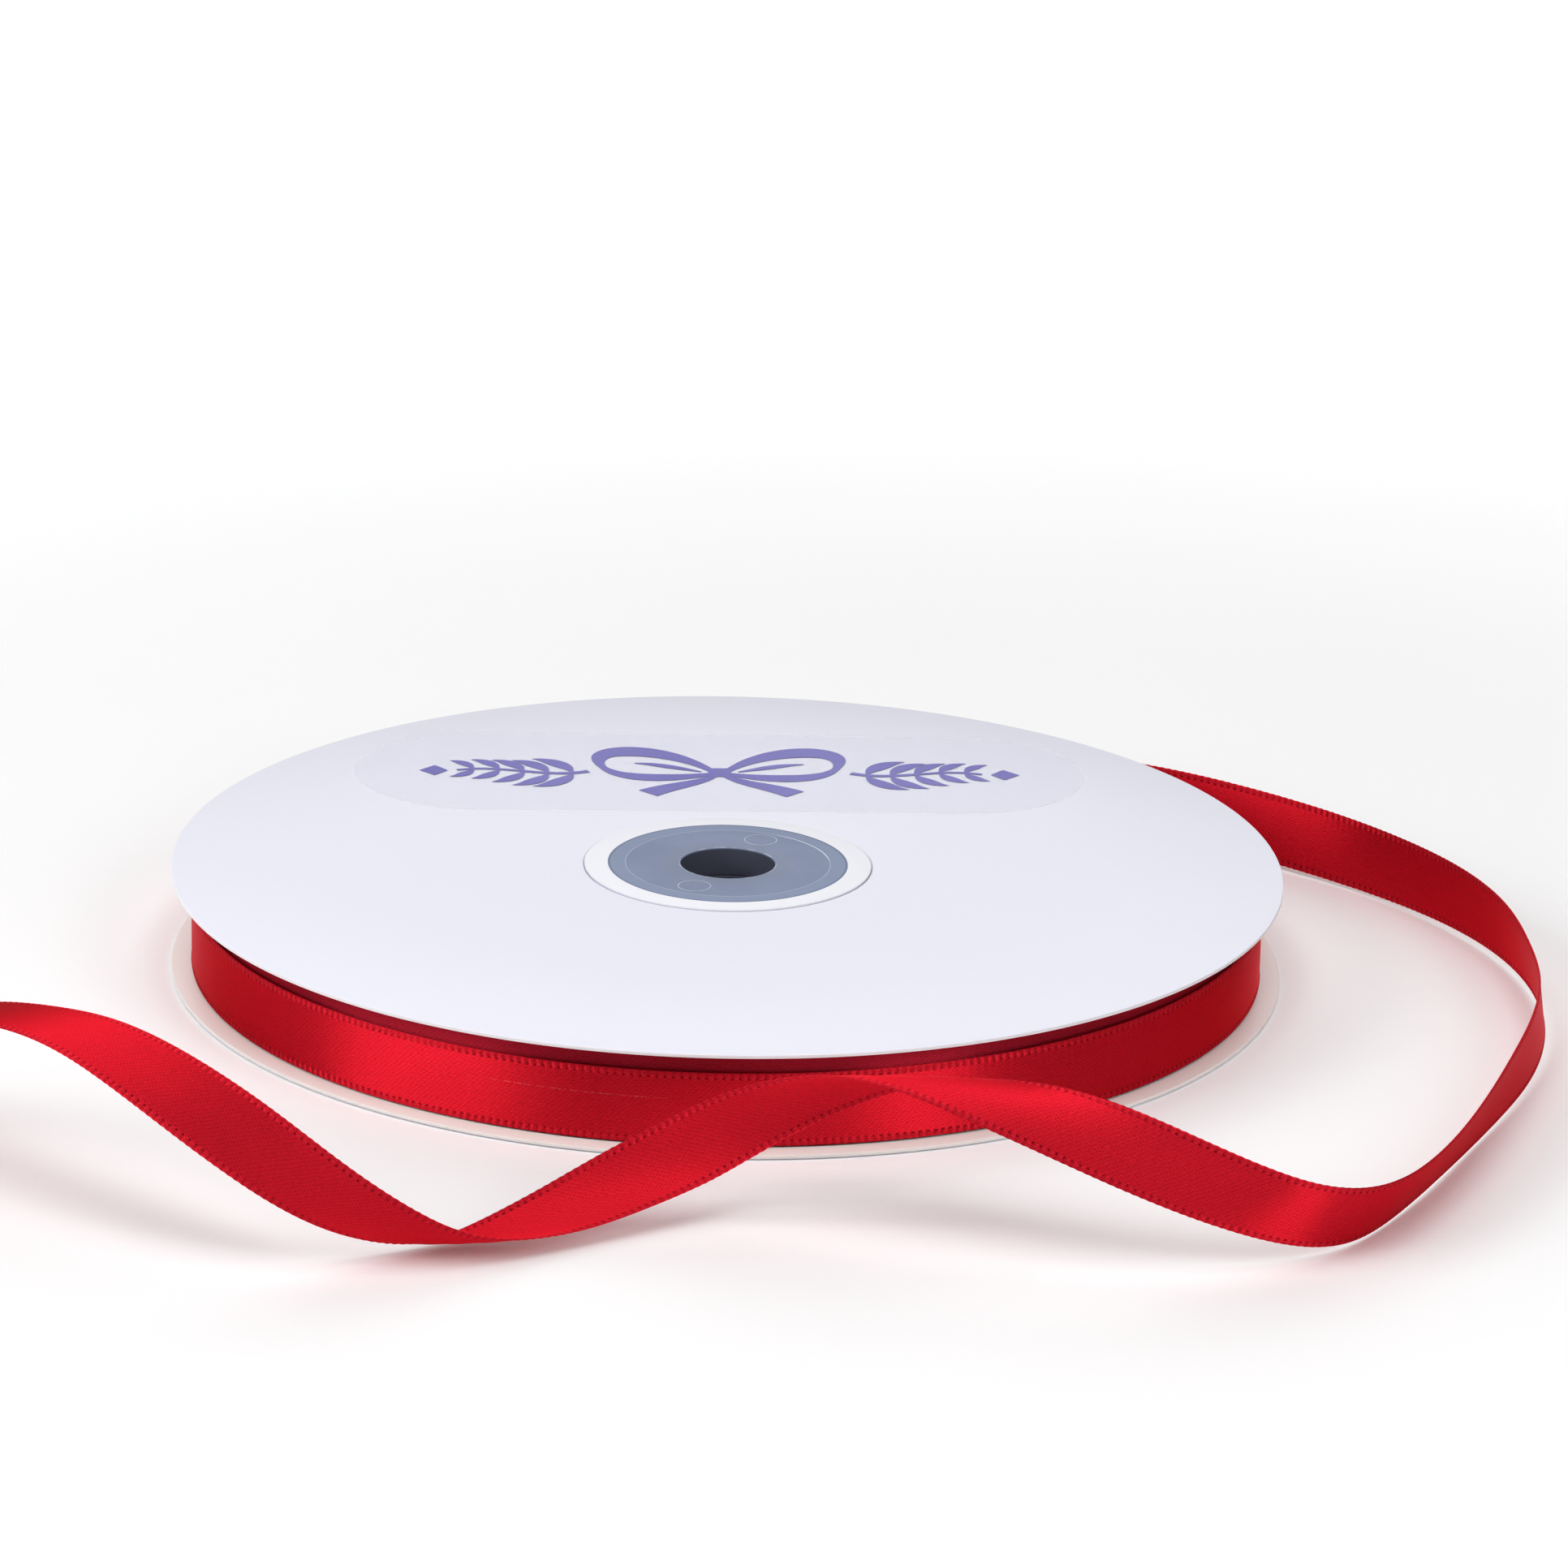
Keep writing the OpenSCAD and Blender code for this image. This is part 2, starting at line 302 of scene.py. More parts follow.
def moulded_hub(name, top):
    """Milky translucent plastic: white where it lies on the board, and over the hollow painted
    shade in grey-blue, as the dark hollow would show through.
    """
    f = Finish(name, IOR=1.49, Specular_IOR_Level=0.16, Coat_Roughness=0.25,
               Subsurface_Weight=0.08, Subsurface_Radius=(0.004, 0.004, 0.005),
               Subsurface_Scale=0.5)
    x, y, z = f.place()
    far = f.radius(x, y)
    depth = TOP / MM - z if top else z
    face = f.step(depth, 0.35, 0.1)
    haze = f.noise(x * 0.12, y * 0.12, z * 0.3, 3.0, 0.55)
    flow = f.noise(x * 0.5, y * 0.09, 2.0, 2.0)
    # painted shade: the end plate over the hollow is grey-blue, as the dark hollow would show
    # through, lighter over the barrels and greyer towards the boss
    inner = f.blend(haze, (0.140, 0.182, 0.305), (0.245, 0.292, 0.420))
    inner = f.blend(f.step(far, 16.6, 17.3) * 0.45, inner, (0.240, 0.300, 0.45))
    inner = f.blend(f.step(far, 12.0, 9.5) * 0.30, inner, (0.215, 0.235, 0.31))
    # painted highlight: the ring line of the barrel below, bright on one side
    arc = f.band(f.one("ARCTAN2", y, x), 0.62, 0.32, 0.22)
    inner = f.blend(f.band(far, 17.0, 0.04, 0.09) * (0.10 + arc * 0.75 + flow * 0.25), inner,
                    (0.80, 0.83, 0.92))
    # painted shade: a dark line along the edge of the flange's hole, where the barrel wall stands
    # edge-on
    inner = f.blend(f.band(far, HOLE_R / MM - 0.15, 0.10, 0.22) * 0.75, inner,
                    (0.095, 0.125, 0.225))
    if top:
        # painted highlight: light outlines on the ejector rings
        for angle in EJECTOR_ANGLES:
            mark = f.radius(x - EJECTOR_OUT * math.cos(angle), y - EJECTOR_OUT * math.sin(angle))
            inner = f.blend(f.band(mark, EJECTOR_R, 0.04, 0.07) * (flow * 0.6 + 0.35), inner,
                            (0.78, 0.80, 0.86))
    # the collar on the board, with painted shade on its rim; a painted highlight on the lip of
    # the bore; painted shade down the bore and on the surfaces below the face
    collar = f.step(far, HOLE_R / MM - 0.10, HOLE_R / MM + 0.08)
    colour = f.blend(collar, inner, (0.92, 0.925, 0.985))
    # painted shade: a darker line on the collar's rim, at its step
    rim = f.band(far, COLLAR_R / MM - 0.10, 0.05, 0.10)
    colour = f.blend(rim * 0.15, colour, (0.60, 0.61, 0.72))
    # painted highlight: a broken light line round the lip of the bore
    lip_highlight = f.band(far, BORE + 0.17, 0.05, 0.08) * face
    colour = f.blend(lip_highlight * f.step(flow, 0.45, 0.60) * 0.5, colour, (0.80, 0.82, 0.90))
    # painted shade: the wall down the bore is painted near black
    bore_shade = f.step(far, BORE + 0.30, BORE + 0.10) * (1 - face)
    colour = f.blend(bore_shade * 0.96, colour, (0.062, 0.066, 0.095))
    # painted shade: the hub's surfaces below its face, away from the bore, are painted greyer
    inside = (1 - face) * f.step(far, BORE + 0.15, BORE + 0.45)
    colour = f.blend(inside * 0.5, colour, (0.20, 0.23, 0.30))
    return f.surface(Base_Color=colour, Roughness=0.40 + haze * 0.16,
                     Alpha=1 - collar * face * 0.04, Coat_Weight=0.02 + flow * 0.05,
                     Normal=f.bump(haze + flow * 0.5, 0.05, 0.35))


def clear_film(name):
    """Clear label film: barely a tint, with a brighter cut edge and faint ripples."""
    f = Finish(name, IOR=1.46, Specular_IOR_Level=0.3, Coat_Roughness=0.2)
    x, y, z = f.place()
    ripple = f.noise(x * 0.05, y * 0.09, 4.0, 2.0)
    side = f.step(z - label_low.z / MM, 0.085, 0.065)
    colour = f.blend(ripple, (0.86, 0.86, 0.96), (0.90, 0.90, 0.98))
    colour = f.blend(side * 0.6, colour, (0.97, 0.97, 1.0))
    return f.surface(Base_Color=colour, Roughness=0.30 + ripple * 0.12,
                     Alpha=0.025 + ripple * 0.015 + side * 0.30, Coat_Weight=0.03 + ripple * 0.04,
                     Normal=f.bump(ripple, 0.02, 0.25))


def violet_ink(name):
    """Printed violet ink, a little mottled and paler in places."""
    f = Finish(name, Coat_Roughness=0.3, Specular_IOR_Level=0.12)
    x, y, _ = f.place()
    mottle = f.noise(x * 1.3, y * 1.3, 1.0, 3.0, 0.6)
    fade = f.noise(x * 0.03, y * 0.05, 9.0, 1.0)
    colour = f.blend(fade, (0.135, 0.120, 0.43), (0.235, 0.215, 0.54))
    colour = f.blend((mottle - 0.5) * 0.4 + 0.10, colour, (0.30, 0.29, 0.58))
    return f.surface(Base_Color=colour, Roughness=0.46 + mottle * 0.12,
                     Coat_Weight=0.01 + fade * 0.03, Normal=f.bump(mottle, 0.006, 0.5))


def grey_board(name):
    """Spiral-wound core board with the seam of its winding."""
    f = Finish(name, Specular_IOR_Level=0.25, Coat_Roughness=0.5)
    x, y, z = f.place()
    lay = f.one("FRACT", z / 22.0 + f.one("ARCTAN2", y, x) / (2 * math.pi))
    seam = f.band(lay, 0.5, 0.006, 0.012)
    plies = f.one("SINE", f.radius(x, y) * 16.0) * 0.5 + 0.5
    pulp = f.noise(x * 1.2, y * 1.2, z * 1.2, 5.0, 0.65)
    colour = f.blend(pulp, (0.47, 0.36, 0.24), (0.30, 0.22, 0.14))
    colour = f.blend(plies * 0.25, colour, (0.20, 0.15, 0.10))
    colour = f.blend(seam * 0.7, colour, (0.10, 0.07, 0.05))
    return f.surface(Base_Color=colour, Roughness=0.78 + pulp * 0.15,
                     Coat_Weight=pulp * 0.02,
                     Normal=f.bump(pulp + plies * 0.3 - seam * 2.0, 0.06, 0.6))


def core_tape_film(name):
    """Thin yellowed adhesive tape with a fine ripple."""
    f = Finish(name, Coat_Roughness=0.2)
    x, y, z = f.place()
    ripple = f.noise(x * 0.2, y * 0.2, z * 1.4, 3.0)
    colour = f.blend(ripple, (0.80, 0.72, 0.48), (0.70, 0.62, 0.40))
    return f.surface(Base_Color=colour, Roughness=0.32 + ripple * 0.15,
                     Alpha=0.82 + ripple * 0.1, Coat_Weight=0.2 + ripple * 0.1,
                     Normal=f.bump(ripple, 0.04, 0.5))


def table_top(name):
    """The pale floor, which glows away from the spool, where the lamps don't reach."""
    f = Finish(name, Specular_IOR_Level=0.2, Emission_Strength=1.0)
    x, y, _ = f.place()
    fleck = f.noise(x * 0.02, y * 0.02, 0.0)
    glow = f.step(f.radius(x, y), GLOW_NEAR, GLOW_FAR)
    return f.surface(Base_Color=f.blend(fleck, (0.93, 0.93, 0.935), (0.945, 0.945, 0.945)),
                     Emission_Color=f.blend(glow, (0.05, 0.05, 0.05), (0.95, 0.95, 0.95)),
                     Roughness=0.6 + fleck * 0.1)


def white_surround(name):
    """The even white behind everything."""
    f = Finish(name, Base_Color=(0, 0, 0, 1), Roughness=1.0, Specular_IOR_Level=0.0,
               Emission_Color=(1, 1, 1, 1), Emission_Strength=1.0)
    return f.material


red_satin = satin("red satin ribbon")
# painted shade: a darker copy of the satin for the turns under the upper flange
painted_shade_satin = satin("red satin ribbon, wound, painted shade", 0.52)
white_top = coated_board("white coated board, upper", flange_low.z, flange_high.z, 1.0, 0.0)
# painted light: the lower board's upper face is painted 1.2 times lighter, for the light the
# upper flange keeps off it
white_base = coated_board("white coated board, lower", base_low.z, base_high.z, 1.20, 0.07)
hub_top_plastic = moulded_hub("milky hub plastic, upper", True)
hub_base_plastic = moulded_hub("milky hub plastic, lower", False)
film = clear_film("clear label film")
ink = violet_ink("violet ink")

# ---------------------------------------------------------------- mesh helpers


def piece(name, bm, material, body, nodes=(), crease=35):
    """Turns a finished bmesh into an object that rides on a body."""
    mesh = bpy.data.meshes.new(name)
    bm.to_mesh(mesh)
    bm.free()
    mesh.shade_smooth()
    mesh.set_sharp_from_angle(angle=math.radians(crease))
    mesh.materials.append(material)
    made = bpy.data.objects.new(name, mesh)
    bpy.context.scene.collection.objects.link(made)
    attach(made, body)
    if nodes:
        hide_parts(*nodes)
    return made


def lathe(bm, outline, steps, soft=(), rounding=0.1 * MM):
    """Spins a closed outline of (radius, height) round the axis, with its soft corners
    rounded first."""
    points = [bm.verts.new((r, 0, z)) for r, z in outline]
    face = bm.faces.new(points)
    if soft:
        bmesh.ops.bevel(bm, geom=[points[i] for i in soft], offset=rounding, affect="VERTICES",
                        segments=4, profile=0.5, material=-1)
        face = next(f for f in bm.faces if points[soft[0] - 1] in f.verts
                    or len(f.verts) > len(outline))
    edges = list(face.edges)
    bmesh.ops.delete(bm, geom=[face], context="FACES_ONLY")
    bmesh.ops.spin(bm, geom=edges, cent=(0, 0, 0), axis=(0, 0, 1), angle=2 * math.pi,
                   steps=steps, use_merge=True)
    bmesh.ops.recalc_face_normals(bm, faces=bm.faces)


def mm(pairs):
    """An outline in millimetres, in metres."""
    return [(r * MM, z * MM) for r, z in pairs]


# ---------------------------------------------------------------- the ribbon


def spline(points, i, t):
    """The uniform cubic spline over points i to i + 3, and its slope."""
    w = [(1 - t) ** 3, 3 * t ** 3 - 6 * t * t + 4, -3 * t ** 3 + 3 * t * t + 3 * t + 1, t ** 3]
    d = [-3 * (1 - t) ** 2, 9 * t * t - 12 * t, -9 * t * t + 6 * t + 3, 3 * t * t]
    place = [sum(w[k] * points[i + k][n] for k in range(4)) / 6 for n in range(4)]
    slope = [sum(d[k] * points[i + k][n] for k in range(4)) / 6 for n in range(4)]
    return place, slope


def stand(place, slope, lean):
    """Middle, width direction and face direction of the ribbon at one point of its run."""
    way = Vector(slope[:3]).normalized()
    up = (Vector((0, 0, 1)) - way.z * way).normalized()
    across = math.cos(lean) * up + math.sin(lean) * way.cross(up)
    return Vector(place[:3]), across, way.cross(across)


BOW, MOST_BOW = 1.5, 0.115
BOW_REACH, BOW_BLUR = 7, 28
FLATTEST = 0.010


def bowed(line):
    """Adds to each step how much the ribbon bows across its width, in 1/mm. A flat band bends one
    way at a time, so where it bends and twists at once it bows across as well."""
    last = len(line) - 1
    way = [(line[min(i + 1, last)][1] - line[max(i - 1, 0)][1]).normalized()
           for i in range(last + 1)]
    total = [0.0]
    for i, (_, _, _, face) in enumerate(line):
        a, b = max(i - BOW_REACH, 0), min(i + BOW_REACH, last)
        run = line[b][0] - line[a][0]
        bend = (way[b] - way[a]).dot(face) / run
        twist = (line[b][2] - line[a][2]).dot(face) / run
        bow = BOW * twist * twist * bend / (bend * bend + FLATTEST ** 2)
        total.append(total[-1] + min(max(bow, -MOST_BOW), MOST_BOW))
    bows = []
    for i in range(last + 1):
        a, b = max(i - BOW_BLUR, 0), min(i + BOW_BLUR, last) + 1
        bows.append((total[b] - total[a]) / (b - a))
    return [step + (bow,) for step, bow in zip(line, bows)]


def tail_line(pitch):
    """Even steps along the free end: (distance from the exit, middle, width, face, bow)."""
    out = Vector((math.cos(EXIT_ANGLE), math.sin(EXIT_ANGLE), 0)) * TURN_R / MM
    way = Vector((math.sin(EXIT_ANGLE), -math.cos(EXIT_ANGLE), 0)) * EXIT_RUN
    mid = TURN_MID / MM
    points = [[out.x, out.y, mid, 0], [out.x + way.x, out.y + way.y, mid, 0]] + TAIL_ROUTE
    held = ([[2 * a - b for a, b in zip(points[0], points[1])]] + points
            + [[2 * a - b for a, b in zip(points[-1], points[-2])]])
    fine = 60
    trail = [spline(held, i, k / fine) for i in range(len(points) - 1) for k in range(fine)]
    trail.append(spline(held, len(points) - 2, 1.0))
    gone = [0.0]
    for (a, _), (b, _) in zip(trail, trail[1:]):
        gone.append(gone[-1] + (Vector(b[:3]) - Vector(a[:3])).length)
    count = round(gone[-1] / pitch)
    line, j = [], 0
    for n in range(count + 1):
        want = gone[-1] * n / count
        while j < len(gone) - 2 and gone[j + 1] < want:
            j += 1
        share = (want - gone[j]) / (gone[j + 1] - gone[j])
        place = [a + (b - a) * share for a, b in zip(trail[j][0], trail[j + 1][0])]
        slope = [a + (b - a) * share for a, b in zip(trail[j][1], trail[j + 1][1])]
        middle, across, face = stand(place, slope, math.radians(place[3]))
        line.append((want, middle * MM, across, face))
    return bowed(line)


def wound_line(pitch, sweep, radius_at, height_at):
    """Even steps back from the exit along a turn on the winding, sweep in degrees."""
    count = round(math.radians(sweep) * TURN_R / MM / pitch)
    line = []
    for n in range(count + 1):
        swung = math.radians(sweep) * n / count
        r = radius_at(math.degrees(swung))
        out = Vector((math.cos(EXIT_ANGLE + swung), math.sin(EXIT_ANGLE + swung), 0))
        middle = out * r + Vector((0, 0, height_at(math.degrees(swung))))
        line.append((-swung * TURN_R / MM, middle, Vector((0, 0, 1)), -out, 0.0))
    return line


# half of the ribbon's section: (distance across, half thickness, share of a bead), in mm.
# BEAD is how proud a bead stands, and SCALLOP how far the edge draws in between two.
SECTION = [(-6.0, 0.0, 0.0), (-5.93, 0.06, 0.5), (-5.7, 0.09, 1.0), (-5.35, 0.09, 1.0),
           (-5.05, 0.075, 0.5), (-4.85, 0.10, 0.0), (-2.6, 0.115, 0.0), (0.0, 0.118, 0.0),
           (2.6, 0.115, 0.0), (4.85, 0.10, 0.0), (5.05, 0.075, 0.5), (5.35, 0.09, 1.0),
           (5.7, 0.09, 1.0), (5.93, 0.06, 0.5), (6.0, 0.0, 0.0)]
BEAD, SCALLOP = 0.10, 0.035


def ribbon(bm, line, section=SECTION):
    """Sweeps the ribbon's section along a line: a grid is rolled round it and closed."""
    loop = ([(a, h, b, 1) for a, h, b in section]
            + [(a, h, b, -1) for a, h, b in section[-2:0:-1]])
    rounds, rings = len(loop), len(line)
    uv = bm.loops.layers.uv.new("Weave")
    grid = bmesh.ops.create_grid(bm, x_segments=rings - 1, y_segments=rounds, size=1)["verts"]
    spots = {}
    for v in grid:
        i = round((v.co.x + 1) / 2 * (rings - 1))
        j = round((v.co.y + 1) / 2 * rounds) % rounds
        gone, middle, across, face, bow = line[i]
        wide, half, share, side = loop[j]
        beat = math.cos(2 * math.pi * gone / SELVAGE_PITCH + (0 if wide > 0 else 2.0))
        reach = wide + math.copysign(SCALLOP * (beat - 1) * (abs(wide) > 5.2), wide)
        lift = side * (half + share * BEAD * (0.5 + 0.5 * beat))
        turn = reach * bow
        if abs(bow) > 1e-4:
            across, face, arc = (across * math.cos(turn) + face * math.sin(turn),
                                 face * math.cos(turn) - across * math.sin(turn),
                                 across * math.sin(turn) + face * (1 - math.cos(turn)))
            v.co = middle + arc * MM / bow + face * lift * MM
        else:
            v.co = middle + (across * reach + face * lift) * MM
        spots[v] = (gone / WEAVE_SPAN, wide / WEAVE_SPAN + 0.5)
    for face in bm.faces:
        for corner in face.loops:
            corner[uv].uv = spots[corner.vert]
    bmesh.ops.remove_doubles(bm, verts=bm.verts, dist=0.002 * MM)
    ends = [e for e in bm.edges if e.is_boundary]
    bmesh.ops.holes_fill(bm, edges=ends, sides=0)
    bmesh.ops.recalc_face_normals(bm, faces=bm.faces)


def ease(t):
    t = min(max(t, 0.0), 1.0)
    return t * t * (3 - 2 * t)


FINE_PITCH, COARSE_PITCH = 0.234, 0.39

tail_run = tail_line(FINE_PITCH)
bm = bmesh.new()
ribbon(bm, tail_run)
tail = piece("ribbon_free_end", bm, red_satin, "free_ribbon", ["ribbon_tail"], 60)
tail_length = tail_run[-1][0] * MM
[tuple(spot[1]) for spot in tail_run[::8] + tail_run[-1:]]

# the loose last turn: it comes off the winding just past the exit, under the free end
turn_run = wound_line(
    FINE_PITCH, 384,
    lambda a: TURN_R - (0.36 * ease((a - 300) / 58) + 0.32 * ease((a - 358) / 26)) * MM,
    lambda a: TURN_MID + 0.05 * math.sin(math.radians(2 * a)) * MM)
bm = bmesh.new()
ribbon(bm, turn_run)
piece("ribbon_last_turn", bm, red_satin, "free_ribbon", ["ribbon_outer_turn"], 60)

# the turn under it, wound high against the upper flange, in painted shade
high_run = wound_line(COARSE_PITCH, 360, lambda a: pack_high.x - 0.14 * MM,
                      lambda a: pack_high.z - RIBBON_W / 2 - 0.02 * MM)
bm = bmesh.new()
ribbon(bm, high_run, [s for s in SECTION if s[0] != 2.6])
piece("ribbon_high_turn", bm, painted_shade_satin, "spool", ["ribbon_pack"], 60)

# the turns below, a bundle whose edges step up and down between the flanges, in painted shade
FIRST_TURN, LAST_TURN = 24.1, 87.55
STEPS = 62
top_edge, low_edge = [], []
for n in range(STEPS):
    r = (FIRST_TURN + (LAST_TURN - FIRST_TURN) * n / (STEPS - 1)) * MM
    sway = 0.5 + 0.5 * math.sin(n * 2.4 + math.sin(n * 0.9) * 2.0)
    top_edge.append((r, pack_high.z - (0.1 + 1.1 * sway) * MM))
    low_edge.append((r, pack_low.z + (0.1 + 1.1 * (1 - sway)) * MM))
bm = bmesh.new()
lathe(bm, top_edge + low_edge[::-1], 160)
piece("ribbon_wound_turns", bm, painted_shade_satin, "spool", ["ribbon_pack"], 50)

# ---------------------------------------------------------------- flanges, hub and core

BOARD_ROUND, HUB_ROUND = 0.16 * MM, 0.14 * MM
FLANGE_STEPS, HUB_STEPS = 288, 192
thick = (flange_high.z - flange_low.z) / MM
seat = COLLAR_R / MM + 0.1


def flange_outline(face, way):
    """The board's outline from its hole out to the rim and back, from its outer face inwards."""
    hole, rim, inner = HOLE_R / MM, FLANGE_R / MM, face - way * thick
    return mm([(hole, face - way * 0.4), (seat - 0.12, face - way * 0.4),
               (seat + 0.12, face - way * 0.03), (seat + 1.1, face), (60, face),
               (rim, face), (rim, inner), (60, inner), (hole, inner)])


for name, board, face, way, node in (
        ("upper_flange", white_top, flange_high.z / MM, 1, "top_flange"),
        ("lower_flange", white_base, base_low.z / MM, -1, "bottom_flange")):
    bm = bmesh.new()
    lathe(bm, flange_outline(face, way), FLANGE_STEPS, soft=(2, 5, 6), rounding=BOARD_ROUND)
    piece(name, bm, board, "spool", [node])

# the upper half: collar, outside of the barrel, its inside with the groove, boss
top = TOP / MM
plate = top - COLLAR_T
bore_in, barrel_out = UPPER_BARREL
bm = bmesh.new()
lathe(bm, mm([(BORE, top), (COLLAR, top), (COLLAR, plate), (barrel_out, plate),
              (barrel_out, 4.8), (bore_in, 4.8), (bore_in, 9.9), (GROOVE, 9.9), (GROOVE, 12.3),
              (bore_in, 12.3), (bore_in, plate), (BOSS, plate), (BOSS, PARTING),
              (BORE, PARTING)]), HUB_STEPS, soft=(0, 1, 2, 4, 13), rounding=HUB_ROUND)
# the low ring that each ejector leaves in the end plate
for angle in EJECTOR_ANGLES:
    ring = bmesh.ops.create_circle(bm, segments=10, radius=0.13 * MM)["verts"]
    bmesh.ops.rotate(bm, verts=ring, cent=(0, 0, 0), matrix=Matrix.Rotation(math.pi / 2, 3, "X"))
    bmesh.ops.translate(bm, verts=ring, vec=(EJECTOR_R * MM, 0, 0))
    bmesh.ops.scale(bm, verts=ring, vec=(1, 1, 0.45))
    before = set(bm.verts) - set(ring)
    bmesh.ops.spin(bm, geom=list({e for v in ring for e in v.link_edges}), cent=(0, 0, 0),
                   axis=(0, 0, 1), angle=2 * math.pi, steps=48, use_merge=True)
    mark = [v for v in bm.verts if v not in before]
    bmesh.ops.translate(bm, verts=mark, vec=(EJECTOR_OUT * MM * math.cos(angle),
                                             EJECTOR_OUT * MM * math.sin(angle), TOP))
bmesh.ops.recalc_face_normals(bm, faces=bm.faces)
piece("hub_top_half", bm, hub_top_plastic, "spool", ["hub_upper"])

# the lower half: collar, outside of the barrel with the bead, its inside, boss
bore_in, barrel_out = LOWER_BARREL
bm = bmesh.new()
lathe(bm, mm([(BORE, 0), (COLLAR, 0), (COLLAR, COLLAR_T), (barrel_out, COLLAR_T),
              (barrel_out, 10.5), (BEAD_OUT, 10.8), (BEAD_OUT, 11.4), (barrel_out, 11.7),
              (barrel_out, 12.3), (bore_in, 12.3), (bore_in, COLLAR_T), (BOSS, COLLAR_T),
              (BOSS, 12.7), (BORE, 12.7)]),
      HUB_STEPS, soft=(0, 1, 2, 13), rounding=HUB_ROUND)
piece("hub_lower_half", bm, hub_base_plastic, "spool", ["hub_lower"])

for node, material in (("core_tube", grey_board("grey core board")),
                       ("core_tape", core_tape_film("adhesive tape"))):
    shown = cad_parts[node]
    shown.data.materials.clear()
    shown.data.materials.append(material)

# ---------------------------------------------------------------- label

LABEL_TURN = math.radians(2)
LABEL_MID = Vector(((label_low.x + label_high.x) / 2, (label_low.y + label_high.y) / 2, 0))
LABEL_W, LABEL_LEN = 42 * MM, 125 * MM
FILM_T, INK_T = 0.09 * MM, 0.012 * MM


def thicken(bm, depth):
    """Pushes a flat sheet up into a solid of this depth, and gives its upper vertices."""
    grown = bmesh.ops.extrude_face_region(bm, geom=list(bm.faces))["geom"]
    lifted = [v for v in grown if isinstance(v, bmesh.types.BMVert)]
    bmesh.ops.translate(bm, verts=lifted, vec=(0, 0, depth))
    return lifted


def lay_label(bm, height):
    """Turns what was drawn about the origin into the label's place, at this height."""
    bmesh.ops.recalc_face_normals(bm, faces=bm.faces)
    bmesh.ops.rotate(bm, verts=bm.verts, cent=(0, 0, 0),
                     matrix=Matrix.Rotation(LABEL_TURN, 3, "Z"))
    bmesh.ops.translate(bm, verts=bm.verts, vec=LABEL_MID + Vector((0, 0, height)))


bm = bmesh.new()
bmesh.ops.create_circle(bm, cap_ends=True, segments=96, radius=LABEL_W / 2)
for v in bm.verts:
    v.co.x += math.copysign((LABEL_LEN - LABEL_W) / 2, v.co.x + 1e-9)
lifted = thicken(bm, FILM_T)
bmesh.ops.bevel(bm, geom=[e for e in bm.edges if all(v in lifted for v in e.verts)],
                offset=0.03 * MM, affect="EDGES", segments=2, profile=0.5, material=-1)
lay_label(bm, label_low.z + 0.004 * MM)
piece("clear_label", bm, film, "spool", ["label_sticker"])


def stroke(bm, path, width, steps=24, lift=0.0):
    """Lays a flat brush stroke: path(t) gives its middle and width(t) its width, in mm."""
    grid = bmesh.ops.create_grid(bm, x_segments=steps, y_segments=2, size=1)["verts"]
    for v in grid:
        t, side = (v.co.x + 1) / 2, v.co.y
        here = Vector(path(t))
        way = (Vector(path(min(t + 0.01, 1))) - Vector(path(max(t - 0.01, 0)))).normalized()
        spot = here + Vector((-way.y, way.x)) * side * width(t) / 2
        v.co = (spot.x * MM, spot.y * MM, lift * MM)


def bezier(a, b, c, d):
    """A curve from a to d, as a function of 0 to 1."""
    return lambda t: tuple((1 - t) ** 3 * a[k] + 3 * t * (1 - t) ** 2 * b[k]
                           + 3 * t * t * (1 - t) * c[k] + t ** 3 * d[k] for k in (0, 1))


def swell(thin, fat):
    """A width that is thin at both ends and fat in the middle."""
    return lambda t: thin + (fat - thin) * math.sin(math.pi * t) ** 1.3


bm = bmesh.new()
for s in (-1, 1):
    # bow: outer loop, inner fold and hanging end
    stroke(bm, bezier((s * 1.2, 0.6), (s * 9, 15), (s * 24, 14), (s * 20, 2.5)),
           swell(1.3, 5.0), 36)
    stroke(bm, bezier((s * 20, 2.5), (s * 17, -5), (s * 7, -3.5), (s * 1.2, -0.6)),
           swell(1.3, 3.6), 36)
    stroke(bm, bezier((s * 3.2, 0.4), (s * 7, 2.2), (s * 11, 4.6), (s * 14.5, 4.8)),
           swell(0.4, 1.8))
    stroke(bm, bezier((s * 1.0, -1.6), (s * 3.5, -6), (s * 8, -7), (s * 12.5, -11.5)),
           lambda t: 1.4 + 3.0 * t)
    # sprig: stem, paired leaves that shrink outwards, and a lozenge at its end
    stem = bezier((s * 22.5, 0.2), (s * 30, -4.0), (s * 37, 3.6), (s * 45, 0.2))
    stroke(bm, stem, lambda t: 1.3 - 0.5 * t, 32)
    for n in range(5):
        t = 0.12 + 0.19 * n
        root = Vector(stem(t))
        long = 9.6 - n
        for lean in (1, -1):
            tip = root + Vector((s * long * 0.72, lean * long * 0.78))
            stroke(bm, bezier(root, root + Vector((s * 0.4, lean * long * 0.35)),
                              tip - Vector((s * long * 0.3, lean * 0.3)), tip),
                   swell(0.15, 3.0 - 0.25 * n), 14, lift=0.002)
    stroke(bm, bezier((s * 46.6, 0), (s * 48, 0), (s * 49.5, 0), (s * 51.4, 0)),
           lambda t: 0.1 + 5.4 * (1 - abs(2 * t - 1)), 12)
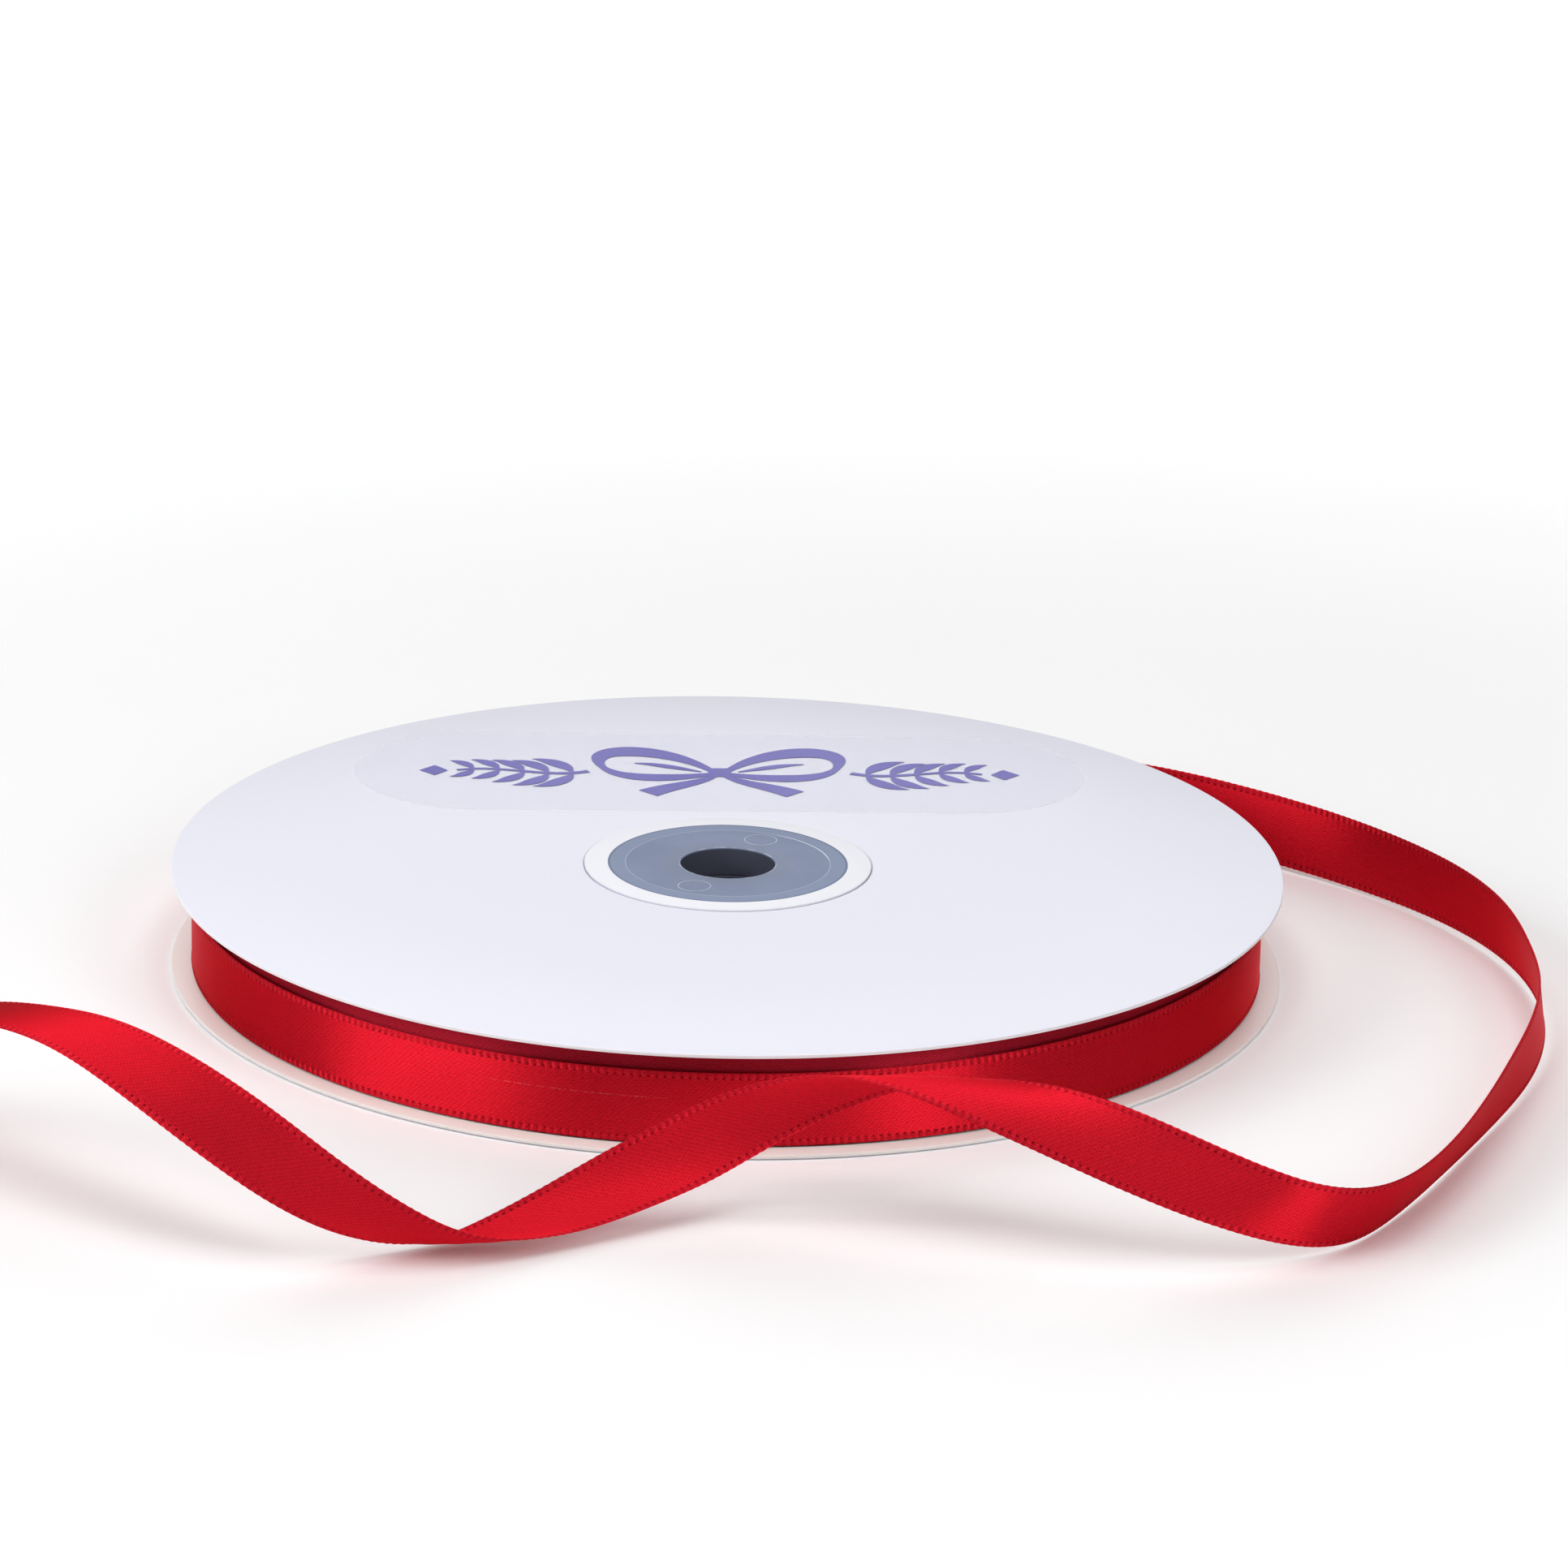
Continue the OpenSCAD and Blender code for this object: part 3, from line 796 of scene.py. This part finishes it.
# the knot
stroke(bm, bezier((0, -2.3), (0, -0.8), (0, 0.8), (0, 2.3)),
       lambda t: 3.0 + 0.9 * math.sin(math.pi * t), 12, lift=0.004)
bmesh.ops.recalc_face_normals(bm, faces=bm.faces)
for face in bm.faces:
    if face.normal.z < 0:
        face.normal_flip()
thicken(bm, INK_T)
lay_label(bm, label_high.z - 0.002 * MM)
piece("printed_ornament", bm, ink, "spool")

# ---------------------------------------------------------------- stage, lights and camera

FLOOR_HALF, FLOOR_DROP = 9.0, 0.05 * MM
SURROUND_R = 14.0


def stand_in(name, bm, material):
    """Turns a finished bmesh into a part of the stage, which isn't part of the object."""
    mesh = bpy.data.meshes.new(name)
    bm.to_mesh(mesh)
    bm.free()
    mesh.materials.append(material)
    made = bpy.data.objects.new(name, mesh)
    bpy.context.scene.collection.objects.link(made)
    return made


bm = bmesh.new()
bmesh.ops.create_grid(bm, x_segments=8, y_segments=8, size=FLOOR_HALF)
bmesh.ops.translate(bm, verts=bm.verts, vec=(0, 0, -FLOOR_DROP))
stand_in("floor", bm, table_top("pale table"))

# a white surround far off, which is seen past the floor's edge but throws no light
bm = bmesh.new()
bmesh.ops.create_icosphere(bm, subdivisions=4, radius=SURROUND_R)
surround = stand_in("surround", bm, white_surround("white surround"))
surround.visible_diffuse = surround.visible_glossy = surround.visible_transmission = False
surround.visible_shadow = False


def softbox(name, azimuth, elevation, away, wide, high, power):
    """A soft area light that faces the spool. Azimuth 0 is on the camera's side, 90 on +X."""
    a, e = math.radians(azimuth), math.radians(elevation)
    spot = Vector((math.sin(a) * math.cos(e), -math.cos(a) * math.cos(e), math.sin(e))) * away
    light = bpy.data.lights.new(name, "AREA")
    light.shape, light.size, light.size_y = "RECTANGLE", wide, high
    light.energy = power
    made = bpy.data.objects.new(name, light)
    made.location = spot
    made.rotation_euler = (-spot).to_track_quat("-Z", "Y").to_euler()
    bpy.context.scene.collection.objects.link(made)


softbox("backdrop", 180, 25, away=1.6, wide=2.0, high=0.6, power=4.8)
softbox("behind_high", 180, 45, away=1.4, wide=1.4, high=0.8, power=4.1)
softbox("overhead", 0, 80, away=1.4, wide=1.0, high=0.8, power=5.7)
softbox("above_front", 0, 60, away=1.4, wide=0.8, high=0.6, power=2.7)
softbox("left_side", -68, 30, away=1.3, wide=0.95, high=0.7, power=8.8)
softbox("right_side", 42, 30, away=1.3, wide=0.50, high=0.7, power=5.0)

world = bpy.data.worlds.new("studio")
world.use_nodes = True
sky = world.node_tree.nodes["Background"]
sky.inputs["Color"].default_value = (1.0, 1.0, 1.0, 1)
sky.inputs["Strength"].default_value = 0.06
bpy.context.scene.world = world
bpy.context.scene.view_settings.view_transform = "Standard"

lens = bpy.data.cameras.new("camera")
lens.lens, lens.sensor_width = 184.72, 36
lens.clip_start, lens.clip_end = 0.05, 40
camera = bpy.data.objects.new("camera", lens)
# aside, down and roll, in degrees, of a camera that first looks straight along +Y
ASIDE, DOWN, ROLL = -0.4095, -18.203, -1.2536
camera.matrix_world = (
    Matrix.Translation((0, -1.26224, 0.44664)) @ Matrix.Rotation(math.radians(ASIDE), 4, "Z")
    @ Matrix.Rotation(math.radians(DOWN), 4, "X") @ Matrix.Rotation(math.radians(ROLL), 4, "Y")
    @ Matrix.Rotation(math.pi / 2, 4, "X"))
bpy.context.scene.collection.objects.link(camera)
bpy.context.scene.camera = camera
